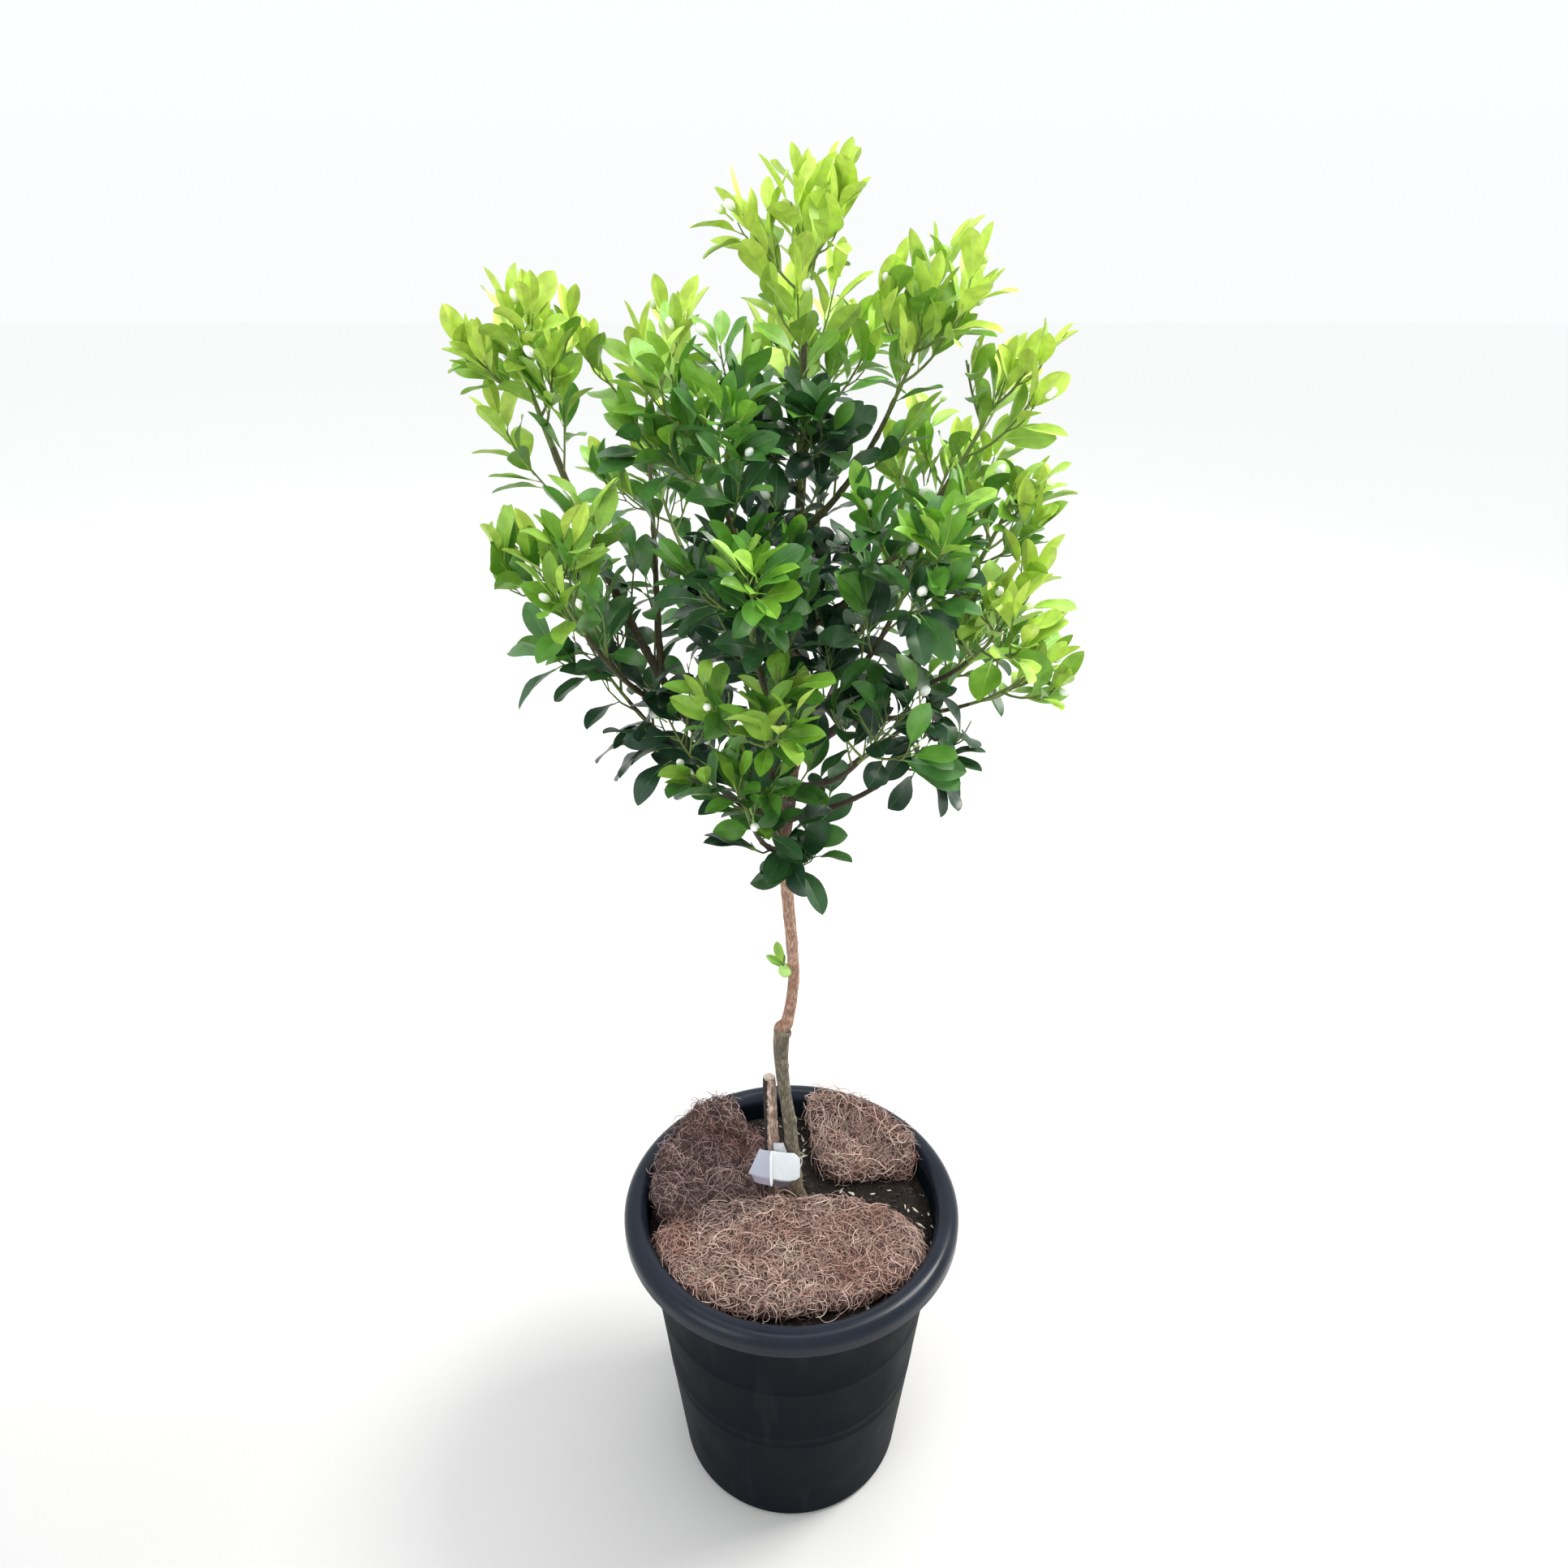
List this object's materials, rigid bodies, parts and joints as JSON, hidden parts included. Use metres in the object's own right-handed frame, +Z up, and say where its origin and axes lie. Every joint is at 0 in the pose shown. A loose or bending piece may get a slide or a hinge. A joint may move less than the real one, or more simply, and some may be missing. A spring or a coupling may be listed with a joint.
{
  "type": "potted standard citrus tree",
  "caption": "Young citrus tree trained as a standard: bare crooked stem and loose round leafy head, planted in a black tapered nursery pot under coir mulch mats.",
  "frame": {"origin": "centre of the pot's flat underside", "axes": "+Z up along the stem, -Y towards the front of the tree, +X to its right"},
  "size_m": [0.5248, 0.4735, 1.3749],
  "materials": {
    "pot_plastic": "moulded, satin",
    "potting_mix": "crumbly bark and peat mix",
    "coir": "matted coconut fibre",
    "bark": "thin grey-brown bark",
    "leaf": "waxy leaves, lime at the tips and deep green inside",
    "label_plastic": "bare white sheet plastic"
  },
  "bodies": {
    "root": {"pot": "pot_plastic", "potting_mix": "potting_mix", "trunk": "bark", "cut_stump": "bark", "coir_mat_front": "coir", "coir_mat_left": "coir", "coir_mat_back": "coir", "plant_label": "label_plastic", "bough_left_main": "bark", "bough_left_inner": "bark", "bough_left_front": "bark", "bough_left_low": "bark", "bough_left_foot": "bark", "bough_front_foot": "bark", "bough_front_low": "bark", "bough_front_low_right": "bark", "bough_right_foot": "bark", "bough_right_low_back": "bark", "bough_right_main": "bark", "bough_right_low": "bark", "bough_right_front": "bark", "bough_front_right": "bark", "bough_front_mid": "bark", "bough_front_main": "bark", "bough_right_upper": "bark", "bough_right_shoulder": "bark", "bough_back_main": "bark", "bough_back_left": "bark", "bough_back_right": "bark", "bough_back_low": "bark", "bough_back_low_right": "bark", "foliage_left_main": "leaf", "foliage_left_inner": "leaf", "foliage_left_front": "leaf", "foliage_left_low": "leaf", "foliage_left_foot": "leaf", "foliage_front_foot": "leaf", "foliage_front_low": "leaf", "foliage_front_low_right": "leaf", "foliage_right_foot": "leaf", "foliage_right_low_back": "leaf", "foliage_right_main": "leaf", "foliage_right_low": "leaf", "foliage_right_front": "leaf", "foliage_front_right": "leaf", "foliage_front_mid": "leaf", "foliage_front_main": "leaf", "foliage_right_upper": "leaf", "foliage_right_shoulder": "leaf", "foliage_back_main": "leaf", "foliage_back_left": "leaf", "foliage_back_right": "leaf", "foliage_back_low": "leaf", "foliage_back_low_right": "leaf", "foliage_foot_shoot": "leaf", "foliage_heart": "leaf", "foliage_leader_front": "leaf", "foliage_stem_sprout": "leaf", "foliage_top": "leaf"}
  },
  "joints": []
}
